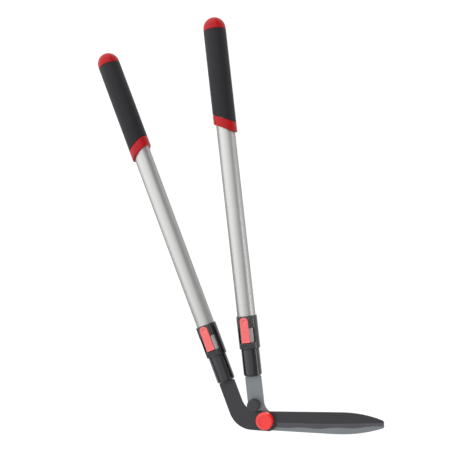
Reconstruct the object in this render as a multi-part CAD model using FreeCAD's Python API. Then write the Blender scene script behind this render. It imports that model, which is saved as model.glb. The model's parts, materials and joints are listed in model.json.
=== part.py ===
import FreeCAD, Part

import math
import os

from FreeCAD import Vector

# Long-handled lawn shears with two telescopic handles, laid flat.
# Millimetres. +X runs out along the closed blades, +Y towards the hand grips, +Z up out of the
# plane that the blades slide in. Everything is first built about the pivot, with the blades'
# sliding plane at z = 0, and is then moved so that the origin is the bottom centre of the whole.
#
# Each handle is built in a frame of its own: Y is the handle's axis, with y = 0 at the lower end
# of its socket and +Y towards the grip, X is across the handle and Z is up.

# ---------------------------------------------------------------- driving dimensions

# Where each handle's axis runs: its lean from +Y, its distance to the left of the pivot, and how
# far up the axis the socket starts, measured from the foot of the perpendicular from the pivot.
LEFT_LEAN = 21.62
LEFT_OFFSET = 37.2
LEFT_SOCKET_START = 74.2
RIGHT_LEAN = 6.6
RIGHT_OFFSET = 13.2
RIGHT_SOCKET_START = 67.2

# Tubes
TUBE_DIAMETER = 28.0
TUBE_WALL = 1.25
INNER_TUBE_WALL = 1.25
BARE_TUBE_LENGTH = 288.6
TUBE_OVERLAP = 62.0

# Telescopic lock
LOCK_TRAVEL = 240.0
LOCK_STEPS = 6
LOCK_PIN_DIAMETER = 6.0
LOCK_PIN_FROM_LEVER_END = 6.0
LEVER_WIDTH = 12.8
LEVER_LENGTH = 38.2
LEVER_THICKNESS = 4.5
LEVER_INSET = 1.5
LEVER_SKIN = 1.0
LEVER_LIP_LENGTH = 3.0
LEVER_LIP_HEIGHT = 0.8
LEVER_END_ROUNDNESS = 0.45
LEVER_PRESS_DEGREES = 5.5
AXLE_FROM_LEVER_END = 13.0
AXLE_DIAMETER = 2.0
AXLE_LENGTH = 21.0
AXLE_BOSS_DIAMETER = 3.8
SPRING_FROM_AXLE = 8.5
SPRING_DIAMETER = 5.0
SPRING_WIRE = 0.5
SPRING_TURNS = 3
SPRING_HEIGHT = 3.0
DIMPLE_RADIUS = 9.0
DIMPLE_DEPTH = 0.8
DIMPLE_FROM_LEVER_END = 6.5

# Collar that carries the lock
COLLAR_WALL = 2.0
COLLAR_BAND_LENGTH = 9.9
COLLAR_GAP = 0.3
COLLAR_EDGE_RADIUS = 0.7
GUIDE_LENGTH = 7.0
HOUSING_WIDTH = 22.6
HOUSING_HEIGHT = 4.4
HOUSING_LENGTH = 18.0
HOUSING_EDGE_RADIUS = 2.4
WINDOW_WIDTH = 25.2
FRONT_PAD_HEIGHT = 3.0
FRONT_PAD_SLOPE = 9.0
CHANNEL_FLOOR = 0.4
SCREW_DIAMETER = 2.6
SCREW_HEAD_DIAMETER = 5.6
SCREW_HEAD_HEIGHT = 1.0
SCREW_FROM_TOP = 9.0
SCREW_SLOT_WIDTH = 0.9

# Socket between the inner tube and the blade's tang
SOCKET_LENGTH = 41.5
SOCKET_WALL = 1.5
SOCKET_FLOOR = 8.0
SOCKET_EDGE_RADIUS = 3.6
INSERT_WALL = 2.25
INSERT_LENGTH = 32.0
TANG_PIN_DIAMETER = 4.0
TANG_PIN_LENGTH = 18.0
TANG_PIN_STATIONS = (17.0, 30.0)
BUSH_FLANGE = 3.0
BUSH_PLUG_LENGTH = 15.0
BUSH_WALL = 3.0

# Grip, slanted ferrule and end cap
GRIP_WALL = 3.5
GRIP_LENGTH = 137.9
FERRULE_LENGTH = 15.5
FERRULE_SLANT = 26.0
FERRULE_PROUD = 0.2
FERRULE_EDGE_RADIUS = 1.2
SEAM_GAP = 0.3
END_CAP_HEIGHT = 20.7
END_CAP_PLUG_LENGTH = 22.0
END_CAP_EDGE_RADIUS = 0.5

# Blades
BLADE_THICKNESS = 3.5
BLADE_REACH = 176.0
BLADE_ROOT = 16.0
ROOT_LAP = 1.0
EDGE_LAND = 0.6
TAPER_POWER = 2.2
WAVE_HEIGHT = 0.75
WAVE_LENGTH = 52.0
WAVE_CREST = 54.0
TANG_WIDTH = 25.0
TANG_SHOULDER = 0.6
TANG_CORNER_RADIUS = 1.5
TANG_DEPTH = 38.0

# Upper blade: its back is the far side from the lawn edge, its cutting edge is the lower one
UPPER_BACK_HEIGHT = 12.6
UPPER_BACK_SLOPE = 0.0530
UPPER_TAPER_LENGTH = 64.0
UPPER_TAPER_DROP = 12.0
UPPER_EDGE_ROOT = -9.8
UPPER_EDGE_TIP = 2.6
UPPER_EDGE_BOW = -2.6
UPPER_BEVEL_ROOT = -2.6
UPPER_BEVEL_TIP = 8.0
UPPER_BEVEL_BOW = -1.5
UPPER_HEEL = -16.5
UPPER_HEEL_END = 7.0
UPPER_HEEL_RADIUS = 36.0
UPPER_CROOK_RADIUS = 24.0
UPPER_STEP_RADIUS = 6.0

# Lower blade: the other way up, so its cutting edge is the upper one
LOWER_BACK_HEIGHT = -16.0
LOWER_BACK_SLOPE = 0.0133
LOWER_TAPER_LENGTH = 77.0
LOWER_TAPER_RISE = 13.3
LOWER_EDGE_ROOT = 8.6
LOWER_EDGE_TIP = 6.2
LOWER_EDGE_BOW = 1.6
LOWER_BEVEL_ROOT = 1.6
LOWER_BEVEL_TIP = 0.6
LOWER_BEVEL_BOW = 1.0
LOWER_HEEL_RADIUS = 16.0
LOWER_CROOK_RADIUS = 19.5

# Pivot
BOLT_DIAMETER = 10.0
BOLT_HEAD_DIAMETER = 22.0
BOLT_HEAD_HEIGHT = 4.0
BOLT_HEAD_EDGE = 2.2
BUSH_DIAMETER = 14.0
WASHER_DIAMETER = 22.0
WASHER_THICKNESS = 1.2
DISC_SPRING_DIAMETER = 20.0
DISC_SPRING_THICKNESS = 0.9
DISC_SPRING_HEIGHT = 1.4
NUT_ACROSS_FLATS = 17.0
NUT_HEIGHT = 5.0
PIVOT_CAP_DIAMETER = 26.0
PIVOT_CAP_TOP = 14.0
PIVOT_CAP_BEVEL = 1.8
PIVOT_CAP_DISH_DIAMETER = 15.0
PIVOT_CAP_DISH_DEPTH = 0.7

# Rubber bumper that the upper blade's crook closes on
BUMPER_DIAMETER = 18.0
BUMPER_HEIGHT = 12.0
BUMPER_EDGE_RADIUS = 1.2
BUMPER_ANGLE = 257.0
BUMPER_SCREW_DIAMETER = 5.0
BUMPER_SCREW_DEPTH = 8.0
BUMPER_SCREW_HEAD_DIAMETER = 9.0
BUMPER_SCREW_HEAD_HEIGHT = 2.6
HEX_KEY_ACROSS_FLATS = 3.0
HEX_KEY_DEPTH = 1.6

# Clearances
BLADE_GAP = 0.10
TELESCOPE_CLEARANCE = 0.25
GUIDE_CLEARANCE = 0.10
PUSH_FIT = 0.05
RUNNING_FIT = 0.05
LEVER_SIDE_CLEARANCE = 0.35
LEVER_FLOOR_CLEARANCE = 0.30
PIN_CLEARANCE = 0.40
PIN_SWING_CLEARANCE = 0.70
TANG_CLEARANCE = 0.10
CAP_CLEARANCE = 0.35
BUMPER_GAP = 0.50

# ---------------------------------------------------------------- sizes that follow from them

TUBE_R = TUBE_DIAMETER / 2
TUBE_BORE_R = TUBE_R - TUBE_WALL
INNER_R = TUBE_BORE_R - TELESCOPE_CLEARANCE
INNER_BORE_R = INNER_R - INNER_TUBE_WALL
SOCKET_R = INNER_R + SOCKET_WALL
COLLAR_R = TUBE_R + COLLAR_WALL
GRIP_R = TUBE_R + GRIP_WALL

COLLAR_LENGTH = LEVER_INSET + LEVER_LENGTH + LEVER_SIDE_CLEARANCE + COLLAR_BAND_LENGTH
COLLAR_BOTTOM = SOCKET_LENGTH + COLLAR_GAP
COLLAR_TOP = COLLAR_BOTTOM + COLLAR_LENGTH
LEVER_TOP = COLLAR_TOP - LEVER_INSET
LEVER_BOTTOM = LEVER_TOP - LEVER_LENGTH
WINDOW_BOTTOM = LEVER_BOTTOM - LEVER_SIDE_CLEARANCE
WINDOW_TOP = COLLAR_TOP - HOUSING_LENGTH
LEVER_END_RADIUS = LEVER_WIDTH * LEVER_END_ROUNDNESS
AXLE_Y = LEVER_TOP - AXLE_FROM_LEVER_END
PIN_Y = LEVER_BOTTOM + LOCK_PIN_FROM_LEVER_END
SPRING_Y = AXLE_Y + SPRING_FROM_AXLE
DIMPLE_Y = LEVER_TOP - DIMPLE_FROM_LEVER_END

FERRULE_Y = COLLAR_TOP + BARE_TUBE_LENGTH
GRIP_Y = FERRULE_Y + FERRULE_LENGTH
CAP_Y = GRIP_Y + GRIP_LENGTH
HOLE_PITCH = LOCK_TRAVEL / LOCK_STEPS
INNER_TUBE_TOP = COLLAR_BOTTOM + GUIDE_LENGTH + LOCK_TRAVEL + TUBE_OVERLAP

FLOOR_Z = TUBE_R + CHANNEL_FLOOR
LEVER_Z = FLOOR_Z + LEVER_FLOOR_CLEARANCE
AXLE_Z = LEVER_Z + AXLE_BOSS_DIAMETER / 2
LEVER_TOP_Z = LEVER_Z + LEVER_THICKNESS
THUMB_Z = LEVER_Z + AXLE_FROM_LEVER_END * math.sin(math.radians(LEVER_PRESS_DEGREES))
HOUSING_TOP_Z = TUBE_R + HOUSING_HEIGHT
PAD_TOP_Z = TUBE_R + FRONT_PAD_HEIGHT

TANG_INNER_HALF = INNER_BORE_R - INSERT_WALL
UPPER_Z = BLADE_GAP / 2
LOWER_Z = -BLADE_GAP / 2 - BLADE_THICKNESS
BUSH_TOP_Z = UPPER_Z + BLADE_THICKNESS + BLADE_GAP
WASHER_Z = BUSH_TOP_Z + RUNNING_FIT
DISC_SPRING_Z = WASHER_Z + WASHER_THICKNESS
NUT_Z = DISC_SPRING_Z + DISC_SPRING_HEIGHT
BOLT_END_Z = NUT_Z + NUT_HEIGHT

# Helpers for cutting and matching: a reach past everything, how far a cut runs past the face that
# it opens, and how closely an edge has to match the one that is asked for.
BIG = 800.0
CUT_OVERRUN = 1.0
MATCH = 1e-3
HEX_SIDES = 6
LOFT_SECTIONS = 27
SPRING_POINTS_PER_TURN = 12
HALVINGS = 30


class Handle:
    """Where one handle's axis runs, level with the middle of its blade's plate."""

    def __init__(self, name, lean, offset, socket_start, outer_side, blade_z):
        self.name = name
        self.lean = lean
        self.outer_side = outer_side
        self.axis_z = blade_z + BLADE_THICKNESS / 2
        angle = math.radians(lean)
        self.along = Vector(-math.sin(angle), math.cos(angle), 0)
        self.across = Vector(math.cos(angle), math.sin(angle), 0)
        self.start = self.along * socket_start - self.across * offset

    def point(self, x, y):
        """A point of the handle's own frame, in plan, in the frame of the pivot."""
        return self.start + self.across * x + self.along * y

    def place(self, shape):
        """A piece made in the handle's own frame, put where it belongs."""
        placed = shape.copy()
        placed.rotate(Vector(0, 0, 0), Vector(0, 0, 1), self.lean)
        placed.translate(self.start + Vector(0, 0, self.axis_z))
        return placed


LEFT = Handle("left", LEFT_LEAN, LEFT_OFFSET, LEFT_SOCKET_START, -1, UPPER_Z)
RIGHT = Handle("right", RIGHT_LEAN, RIGHT_OFFSET, RIGHT_SOCKET_START, 1, LOWER_Z)


# ---------------------------------------------------------------- small helpers

def rod(radius, y0, y1):
    """A cylinder along a handle's axis."""
    return Part.makeCylinder(radius, y1 - y0, Vector(0, y0, 0), Vector(0, 1, 0))


def post(radius, x, y, z0, z1):
    """A cylinder that stands along Z."""
    return Part.makeCylinder(radius, z1 - z0, Vector(x, y, z0), Vector(0, 0, 1))


def block(x0, x1, y0, y1, z0, z1):
    """A box between two corners."""
    return Part.makeBox(x1 - x0, y1 - y0, z1 - z0, Vector(x0, y0, z0))


def hex_prism(across_flats, x, y, z0, z1):
    """A six-sided prism that stands along Z."""
    corner_r = across_flats / 2 / math.cos(math.pi / HEX_SIDES)
    ring = []
    for step in range(HEX_SIDES + 1):
        angle = 2 * math.pi / HEX_SIDES * step
        ring.append(Vector(x + corner_r * math.cos(angle), y + corner_r * math.sin(angle), z0))
    return Part.Face(Part.makePolygon(ring)).extrude(Vector(0, 0, z1 - z0))


def round_edges(shape, radius, wanted):
    """Rounds the edges that the test picks."""
    return shape.makeFillet(radius, [edge for edge in shape.Edges if wanted(edge)])


def circle_at(edge, radius, height, axis):
    """Whether an edge is a full circle of this radius, at this height along the axis."""
    if edge.Degenerated or not isinstance(edge.Curve, Part.Circle):
        return False
    centre = edge.Curve.Center
    return abs(edge.Curve.Radius - radius) < MATCH and abs(centre.dot(axis) - height) < MATCH


def rounded_outline(corners):
    """A closed wire through the corners, each (point, radius) rounded by a tangent arc."""
    starts = []
    ends = []
    arcs = []
    for index, (point, radius) in enumerate(corners):
        to_last = (corners[index - 1][0] - point).normalize()
        to_next = (corners[(index + 1) % len(corners)][0] - point).normalize()
        if radius == 0:
            starts.append(point)
            ends.append(point)
            arcs.append(None)
            continue
        half = to_last.getAngle(to_next) / 2
        inward = (to_last + to_next).normalize()
        starts.append(point + to_last * (radius / math.tan(half)))
        ends.append(point + to_next * (radius / math.tan(half)))
        middle = point + inward * (radius / math.sin(half) - radius)
        arcs.append(Part.Arc(starts[-1], middle, ends[-1]).toShape())
    edges = []
    for index, arc in enumerate(arcs):
        if arc is not None:
            edges.append(arc)
        following = starts[(index + 1) % len(corners)]
        edges.append(Part.LineSegment(ends[index], following).toShape())
    return Part.Wire(edges)


def plate(corners, z, thickness):
    """A flat plate with a rounded outline."""
    sheet = Part.Face(rounded_outline(corners))
    sheet.translate(Vector(0, 0, z))
    return sheet.extrude(Vector(0, 0, thickness))


def level_crossing(point, direction, height, slope):
    """Where a line meets the line y = height + slope * x."""
    run = (height + slope * point.x - point.y) / (direction.y - slope * direction.x)
    return point + direction * run


# ---------------------------------------------------------------- blades

def blade_share(x):
    """How far x is along the blade, from 0 at the root to 1 at the tip."""
    return (x - BLADE_ROOT) / (BLADE_REACH - BLADE_ROOT)


def bowed(x, root, tip, bow):
    """A chord from root to tip, bowed in its middle."""
    share = blade_share(x)
    return root + (tip - root) * share + bow * 4 * share * (1 - share)


def wave(x):
    """The gentle wave of the cutting edges."""
    return WAVE_HEIGHT * math.cos(2 * math.pi * (x - WAVE_CREST) / WAVE_LENGTH)


def taper(x, length, amount):
    """How far the back has curved in towards the tip."""
    share = max(0.0, (x - (BLADE_REACH - length)) / length)
    return amount * share ** TAPER_POWER


def upper_back(x):
    straight = UPPER_BACK_HEIGHT + UPPER_BACK_SLOPE * x
    return straight - taper(x, UPPER_TAPER_LENGTH, UPPER_TAPER_DROP)


def upper_edge(x):
    return bowed(x, UPPER_EDGE_ROOT, UPPER_EDGE_TIP, UPPER_EDGE_BOW) + wave(x)


def upper_bevel(x):
    return bowed(x, UPPER_BEVEL_ROOT, UPPER_BEVEL_TIP, UPPER_BEVEL_BOW)


def lower_back(x):
    straight = LOWER_BACK_HEIGHT + LOWER_BACK_SLOPE * x
    return straight + taper(x, LOWER_TAPER_LENGTH, LOWER_TAPER_RISE)


def lower_edge(x):
    return bowed(x, LOWER_EDGE_ROOT, LOWER_EDGE_TIP, LOWER_EDGE_BOW) - wave(x)


def lower_bevel(x):
    return bowed(x, LOWER_BEVEL_ROOT, LOWER_BEVEL_TIP, LOWER_BEVEL_BOW)


def ground_blade(back, bevel, edge, flat_z, outer_z):
    """The ground length of a blade: flat on flat_z, with its bevel on the outer_z side."""
    land_z = flat_z + math.copysign(EDGE_LAND, outer_z - flat_z)
    sections = []
    for step in range(LOFT_SECTIONS):
        x = BLADE_ROOT + (BLADE_REACH + CUT_OVERRUN - BLADE_ROOT) * step / (LOFT_SECTIONS - 1)
        corners = [
            Vector(x, back(x), flat_z),
            Vector(x, back(x), outer_z),
            Vector(x, bevel(x), outer_z),
            Vector(x, edge(x), land_z),
            Vector(x, edge(x), flat_z),
        ]
        sections.append(Part.makePolygon(corners + corners[:1]))
    body = Part.makeLoft(sections, True, False)
    tip_r = tip_radius(back, edge)
    round_x = BLADE_REACH - tip_r
    middle_y = (back(round_x) + edge(round_x)) / 2
    keep = block(0, round_x, -BIG / 2, BIG / 2, -BIG / 2, BIG / 2)
    tip = post(tip_r, round_x, middle_y, -BIG / 2, BIG / 2)
    return body.common(keep.fuse(tip))


def tip_radius(back, edge):
    """The radius of the round tip that just fills the blade's width where it starts."""
    short = 0.0
    long = (BLADE_REACH - BLADE_ROOT) / 2
    for _ in range(HALVINGS):
        middle = (short + long) / 2
        if abs(back(BLADE_REACH - middle) - edge(BLADE_REACH - middle)) / 2 > middle:
            short = middle
        else:
            long = middle
    return long


def tang_corners(handle):
    """The tang's outline from its left shoulder round its hidden end to its right shoulder."""
    half = TANG_WIDTH / 2
    top = TANG_DEPTH
    return [
        (handle.point(-half, -TANG_SHOULDER), TANG_CORNER_RADIUS),
        (handle.point(-TANG_INNER_HALF, -TANG_SHOULDER), 0),
        (handle.point(-TANG_INNER_HALF, top), TANG_CORNER_RADIUS),
        (handle.point(TANG_INNER_HALF, top), TANG_CORNER_RADIUS),
        (handle.point(TANG_INNER_HALF, -TANG_SHOULDER), 0),
        (handle.point(half, -TANG_SHOULDER), TANG_CORNER_RADIUS),
    ]


def tang_pin_holes(handle):
    holes = []
    for y in TANG_PIN_STATIONS:
        spot = handle.point(0, y)
        holes.append(post(TANG_PIN_DIAMETER / 2, spot.x, spot.y, -BIG / 2, BIG / 2))
    return holes


def upper_crook():
    """The corner where the inner side of the upper tang meets the blade's back."""
    side = LEFT.point(TANG_WIDTH / 2, 0)
    return level_crossing(side, LEFT.along, UPPER_BACK_HEIGHT, UPPER_BACK_SLOPE)


def upper_blade():
    side = LEFT.point(-TANG_WIDTH / 2, 0)
    heel = level_crossing(side, LEFT.along, UPPER_HEEL, 0)
    root = BLADE_ROOT + ROOT_LAP
    corners = tang_corners(LEFT) + [
        (upper_crook(), UPPER_CROOK_RADIUS),
        (Vector(root, upper_back(root), 0), 0),
        (Vector(root, upper_bevel(root), 0), 0),
        (Vector(BLADE_ROOT, upper_edge(BLADE_ROOT), 0), 0),
        (Vector(UPPER_HEEL_END, UPPER_HEEL, 0), UPPER_STEP_RADIUS),
        (heel, UPPER_HEEL_RADIUS),
    ]
    arm = plate(corners, UPPER_Z, BLADE_THICKNESS)
    ground = ground_blade(upper_back, upper_bevel, upper_edge, UPPER_Z, UPPER_Z + BLADE_THICKNESS)
    blade = arm.fuse(ground)
    return blade.cut([post(BUSH_DIAMETER / 2, 0, 0, -BIG / 2, BIG / 2)] + tang_pin_holes(LEFT))


def lower_blade():
    left_side = RIGHT.point(-TANG_WIDTH / 2, 0)
    right_side = RIGHT.point(TANG_WIDTH / 2, 0)
    heel = level_crossing(left_side, RIGHT.along, LOWER_BACK_HEIGHT, LOWER_BACK_SLOPE)
    crook = level_crossing(right_side, RIGHT.along, lower_edge(BLADE_ROOT), 0)
    root = BLADE_ROOT + ROOT_LAP
    corners = tang_corners(RIGHT) + [
        (crook, LOWER_CROOK_RADIUS),
        (Vector(BLADE_ROOT, lower_edge(BLADE_ROOT), 0), 0),
        (Vector(root, lower_bevel(root), 0), 0),
        (Vector(root, lower_back(root), 0), 0),
        (heel, LOWER_HEEL_RADIUS),
    ]
    arm = plate(corners, LOWER_Z, BLADE_THICKNESS)
    ground = ground_blade(lower_back, lower_bevel, lower_edge, LOWER_Z + BLADE_THICKNESS, LOWER_Z)
    half = BOLT_DIAMETER / 2 + PUSH_FIT
    square = block(-half, half, -half, half, -BIG / 2, BIG / 2)
    spot = bumper_centre()
    screw = post(BUMPER_SCREW_DIAMETER / 2 + PUSH_FIT, spot.x, spot.y, -BIG / 2, BIG / 2)
    return arm.fuse(ground).cut([square, screw] + tang_pin_holes(RIGHT))


# ---------------------------------------------------------------- pivot

def pivot_bolt():
    """A cup-head bolt whose square neck sits in the lower blade."""
    head = post(BOLT_HEAD_DIAMETER / 2, 0, 0, LOWER_Z - BOLT_HEAD_HEIGHT, LOWER_Z)
    up = Vector(0, 0, 1)
    foot = LOWER_Z - BOLT_HEAD_HEIGHT
    head = round_edges(
        head, BOLT_HEAD_EDGE, lambda edge: circle_at(edge, BOLT_HEAD_DIAMETER / 2, foot, up)
    )
    half = BOLT_DIAMETER / 2
    neck = block(-half, half, -half, half, LOWER_Z, LOWER_Z + BLADE_THICKNESS)
    shank = post(BOLT_DIAMETER / 2, 0, 0, LOWER_Z, BOLT_END_Z)
    return head.fuse([neck, shank]).removeSplitter()


def pivot_bush():
    """The bearing sleeve in the upper blade, which turns on the bolt."""
    sleeve = post(BUSH_DIAMETER / 2, 0, 0, UPPER_Z, BUSH_TOP_Z)
    return sleeve.cut(post(BOLT_DIAMETER / 2 + RUNNING_FIT, 0, 0, -BIG / 2, BIG / 2))


def pivot_washer():
    disc = post(WASHER_DIAMETER / 2, 0, 0, WASHER_Z, DISC_SPRING_Z)
    return disc.cut(post(BOLT_DIAMETER / 2 + PUSH_FIT, 0, 0, -BIG / 2, BIG / 2))


def disc_spring():
    """A coned spring washer that keeps the blades pressed together."""
    inner = BOLT_DIAMETER / 2 + PUSH_FIT
    outer = DISC_SPRING_DIAMETER / 2
    rise = DISC_SPRING_HEIGHT - DISC_SPRING_THICKNESS
    profile = [
        Vector(inner, 0, DISC_SPRING_Z + rise),
        Vector(outer, 0, DISC_SPRING_Z),
        Vector(outer, 0, DISC_SPRING_Z + DISC_SPRING_THICKNESS),
        Vector(inner, 0, NUT_Z),
    ]
    section = Part.Face(Part.makePolygon(profile + profile[:1]))
    return section.revolve(Vector(0, 0, 0), Vector(0, 0, 1), 360)


def pivot_nut():
    nut = hex_prism(NUT_ACROSS_FLATS, 0, 0, NUT_Z, NUT_Z + NUT_HEIGHT)
    return nut.cut(post(BOLT_DIAMETER / 2, 0, 0, -BIG / 2, BIG / 2))


def pivot_cap():
    """The round cap pushed over the nut."""
    foot = UPPER_Z + BLADE_THICKNESS + CAP_CLEARANCE
    radius = PIVOT_CAP_DIAMETER / 2
    up = Vector(0, 0, 1)
    cap = post(radius, 0, 0, foot, PIVOT_CAP_TOP)
    cap = cap.makeChamfer(
        PIVOT_CAP_BEVEL, [edge for edge in cap.Edges if circle_at(edge, radius, PIVOT_CAP_TOP, up)]
    )
    dish_floor = PIVOT_CAP_TOP - PIVOT_CAP_DISH_DEPTH
    cap = cap.cut(post(PIVOT_CAP_DISH_DIAMETER / 2, 0, 0, dish_floor, BIG))
    nut_top = BOLT_END_Z + PUSH_FIT
    skirt = post(WASHER_DIAMETER / 2 + PUSH_FIT, 0, 0, 0, NUT_Z)
    pocket = hex_prism(NUT_ACROSS_FLATS + 2 * PUSH_FIT, 0, 0, foot, nut_top)
    return cap.cut([skirt, pocket])


# ---------------------------------------------------------------- bumper

def bumper_centre():
    """The bumper stands inside the crook, just clear of the upper blade's rounded corner."""
    corner = upper_crook()
    to_tang = LEFT.along
    to_blade = Vector(1, UPPER_BACK_SLOPE, 0).normalize()
    half = to_tang.getAngle(to_blade) / 2
    inward = (to_tang + to_blade).normalize()
    crook_centre = corner + inward * (UPPER_CROOK_RADIUS / math.sin(half))
    reach = UPPER_CROOK_RADIUS - BUMPER_DIAMETER / 2 - BUMPER_GAP
    angle = math.radians(BUMPER_ANGLE)
    return crook_centre + Vector(math.cos(angle), math.sin(angle), 0) * reach


def bumper():
    spot = bumper_centre()
    foot = LOWER_Z + BLADE_THICKNESS
    radius = BUMPER_DIAMETER / 2
    puck = post(radius, spot.x, spot.y, foot, foot + BUMPER_HEIGHT)
    top = foot + BUMPER_HEIGHT
    puck = round_edges(
        puck, BUMPER_EDGE_RADIUS, lambda edge: circle_at(edge, radius, top, Vector(0, 0, 1))
    )
    return puck.cut(post(BUMPER_SCREW_DIAMETER / 2, spot.x, spot.y, foot, foot + BUMPER_SCREW_DEPTH))


def bumper_screw():
    spot = bumper_centre()
    foot = LOWER_Z - BUMPER_SCREW_HEAD_HEIGHT
    end = LOWER_Z + BLADE_THICKNESS + BUMPER_SCREW_DEPTH
    radius = BUMPER_SCREW_HEAD_DIAMETER / 2
    head = post(radius, spot.x, spot.y, foot, LOWER_Z)
    head = round_edges(
        head, BUMPER_EDGE_RADIUS, lambda edge: circle_at(edge, radius, foot, Vector(0, 0, 1))
    )
    shank = post(BUMPER_SCREW_DIAMETER / 2, spot.x, spot.y, LOWER_Z, end)
    socket = hex_prism(HEX_KEY_ACROSS_FLATS, spot.x, spot.y, foot, foot + HEX_KEY_DEPTH)
    return head.fuse(shank).cut(socket)


# ---------------------------------------------------------------- socket end of a handle

def socket(handle):
    """The moulded cup that joins the tang to the inner tube."""
    cup = rod(SOCKET_R, 0, SOCKET_LENGTH)
    cup = round_edges(
        cup, SOCKET_EDGE_RADIUS, lambda edge: circle_at(edge, SOCKET_R, 0, Vector(0, 1, 0))
    )
    cup = round_edges(
        cup,
        COLLAR_EDGE_RADIUS,
        lambda edge: circle_at(edge, SOCKET_R, SOCKET_LENGTH, Vector(0, 1, 0)),
    )
    return cup.cut([rod(INNER_R + PUSH_FIT, SOCKET_FLOOR, BIG), tang_slot()])


def tang_slot():
    """The slot that the tang's narrow end passes through."""
    half = TANG_INNER_HALF + TANG_CLEARANCE
    rise = BLADE_THICKNESS / 2 + TANG_CLEARANCE
    return block(-half, half, -CUT_OVERRUN, TANG_DEPTH + TANG_CLEARANCE, -rise, rise)


def inner_tube(handle):
    """The tube that stays with the blade, with the row of lock holes along its upper side."""
    tube = rod(INNER_R, SOCKET_FLOOR, INNER_TUBE_TOP).cut(rod(INNER_BORE_R, 0, BIG))
    holes = []
    for step in range(LOCK_STEPS + 1):
        y = PIN_Y + HOLE_PITCH * step
        holes.append(post(LOCK_PIN_DIAMETER / 2 + PIN_CLEARANCE, 0, y, 0, BIG))
    return tube.cut(holes)


def tang_insert(handle):
    """The nylon block that fills the inner tube round the tang."""
    block_end = SOCKET_FLOOR + INSERT_LENGTH
    core = rod(INNER_BORE_R - PUSH_FIT, SOCKET_FLOOR, block_end)
    holes = []
    for y in TANG_PIN_STATIONS:
        holes.append(post(TANG_PIN_DIAMETER / 2, 0, y, -TANG_PIN_LENGTH / 2, TANG_PIN_LENGTH))
    return core.cut([tang_slot()] + holes)


def tang_pins(handle):
    pins = []
    for y in TANG_PIN_STATIONS:
        pins.append(post(TANG_PIN_DIAMETER / 2, 0, y, -TANG_PIN_LENGTH / 2, TANG_PIN_LENGTH / 2))
    return Part.makeCompound(pins)


def inner_tube_bush(handle):
    """The plastic slide bush on the inner tube's hidden upper end."""
    plug = rod(INNER_BORE_R - PUSH_FIT, INNER_TUBE_TOP - BUSH_PLUG_LENGTH, INNER_TUBE_TOP)
    flange = rod(TUBE_BORE_R - GUIDE_CLEARANCE, INNER_TUBE_TOP, INNER_TUBE_TOP + BUSH_FLANGE)
    return plug.fuse(flange).cut(rod(INNER_BORE_R - BUSH_WALL, 0, BIG))


# ---------------------------------------------------------------- sliding end of a handle

def screw_cylinder(radius, z0, z1):
    """A cylinder on the collar screw's line, on the underside of the handle."""
    return post(radius, 0, COLLAR_TOP - SCREW_FROM_TOP, z0, z1)


def outer_tube(handle):
    tube = rod(TUBE_R, COLLAR_BOTTOM + GUIDE_LENGTH, CAP_Y)
    lock_hole = post(LOCK_PIN_DIAMETER / 2 + PIN_SWING_CLEARANCE, 0, PIN_Y, 0, BIG)
    screw_hole = screw_cylinder(SCREW_DIAMETER / 2, -BIG, 0)
    return tube.cut([rod(TUBE_BORE_R, 0, BIG), lock_hole, screw_hole])


def collar_housing():
    """The raised cheeks at the lever's upper end and the sloping pad below its lower end."""
    half = HOUSING_WIDTH / 2
    inset = COLLAR_EDGE_RADIUS
    cheeks = block(-half, half, WINDOW_TOP, COLLAR_TOP - inset, 0, HOUSING_TOP_Z)
    pad = block(-half, half, COLLAR_BOTTOM + inset, WINDOW_BOTTOM, 0, PAD_TOP_Z)
    cheeks = round_edges(cheeks, HOUSING_EDGE_RADIUS, lambda edge: lies_at(edge, HOUSING_TOP_Z))
    pad = round_edges(pad, HOUSING_EDGE_RADIUS, lambda edge: lies_at(edge, PAD_TOP_Z))
    pad.rotate(Vector(0, WINDOW_BOTTOM, PAD_TOP_Z), Vector(1, 0, 0), FRONT_PAD_SLOPE)
    return [cheeks, pad]


def lever_channel():
    """The slot between the cheeks, round at the top end as the lever is."""
    half = LEVER_WIDTH / 2 + LEVER_SIDE_CLEARANCE
    top = LEVER_TOP + LEVER_SIDE_CLEARANCE
    slot = block(-half, half, WINDOW_BOTTOM, top, FLOOR_Z, BIG)
    radius = LEVER_END_RADIUS + LEVER_SIDE_CLEARANCE
    return round_edges(slot, radius, lambda edge: upright_at(edge, top))


def upright_at(edge, y):
    """Whether an edge stands along Z at this place along the handle."""
    box = edge.BoundBox
    return box.XLength < MATCH and box.YLength < MATCH and abs(box.YMin - y) < MATCH


def lies_at(edge, z):
    """Whether the whole of an edge is at this height."""
    return abs(edge.BoundBox.ZMin - z) < MATCH and abs(edge.BoundBox.ZMax - z) < MATCH


def collar(handle):
    """The moulded collar on the outer tube's lower end, which carries the lock."""
    body = rod(COLLAR_R, COLLAR_BOTTOM, COLLAR_TOP)
    ends = (COLLAR_BOTTOM, COLLAR_TOP)
    along = Vector(0, 1, 0)
    for y in ends:
        body = round_edges(
            body, COLLAR_EDGE_RADIUS, lambda edge, y=y: circle_at(edge, COLLAR_R, y, along)
        )
    body = body.fuse(collar_housing())
    half = WINDOW_WIDTH / 2
    cuts = [
        rod(TUBE_R + PUSH_FIT, COLLAR_BOTTOM + GUIDE_LENGTH, BIG),
        rod(INNER_R + GUIDE_CLEARANCE, 0, COLLAR_TOP),
        block(-half, half, WINDOW_BOTTOM, WINDOW_TOP, 0, BIG),
        lever_channel(),
        axle_cylinder(AXLE_DIAMETER / 2, -AXLE_LENGTH / 2, HOUSING_WIDTH),
        screw_cylinder(SCREW_DIAMETER / 2 + PUSH_FIT, -BIG, 0),
        screw_cylinder(SCREW_HEAD_DIAMETER / 2 + PUSH_FIT, -BIG, screw_head_z()),
    ]
    return body.cut(cuts)


def screw_head_z():
    """The level that the collar screw's head sits on."""
    return -COLLAR_R + SCREW_HEAD_HEIGHT


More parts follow.
